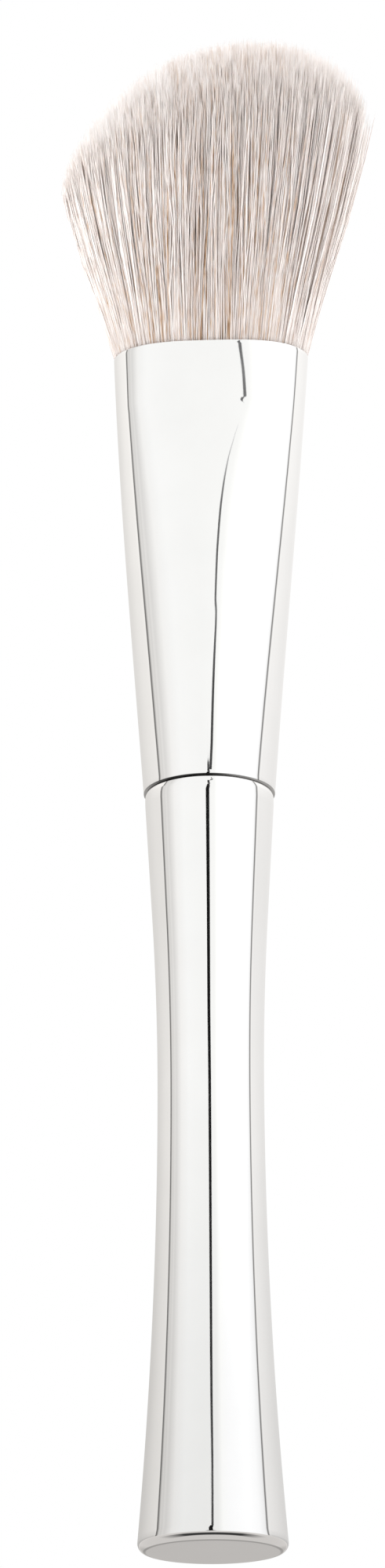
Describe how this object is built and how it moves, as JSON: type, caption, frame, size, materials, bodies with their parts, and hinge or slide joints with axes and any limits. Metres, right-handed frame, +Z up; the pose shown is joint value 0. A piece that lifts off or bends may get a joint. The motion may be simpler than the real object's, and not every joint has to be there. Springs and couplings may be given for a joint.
{
  "type": "angled blush brush",
  "caption": "Make-up brush with a waisted polished metal handle on a flat foot, a pressed oval ferrule and a fanned, slanted dome of soft fibres.",
  "frame": {"origin": "centre of the flat foot of the handle", "axes": "+Z up the handle to the hair, +X to the long side of the angled hair, -Y to the front of the flattened mouth"},
  "size_m": [0.0341, 0.0189, 0.1664],
  "materials": {
    "handle_metal": "mirror polished and plated bright",
    "ferrule_metal": "mirror polished and plated bright",
    "resin": "cured clear resin, yellowish",
    "hair": "fine synthetic fibres, off-white and taupe"
  },
  "bodies": {
    "root": {"handle": "handle_metal", "ferrule": "ferrule_metal", "resin_plug": "resin", "hair_tuft": "hair"}
  },
  "joints": []
}
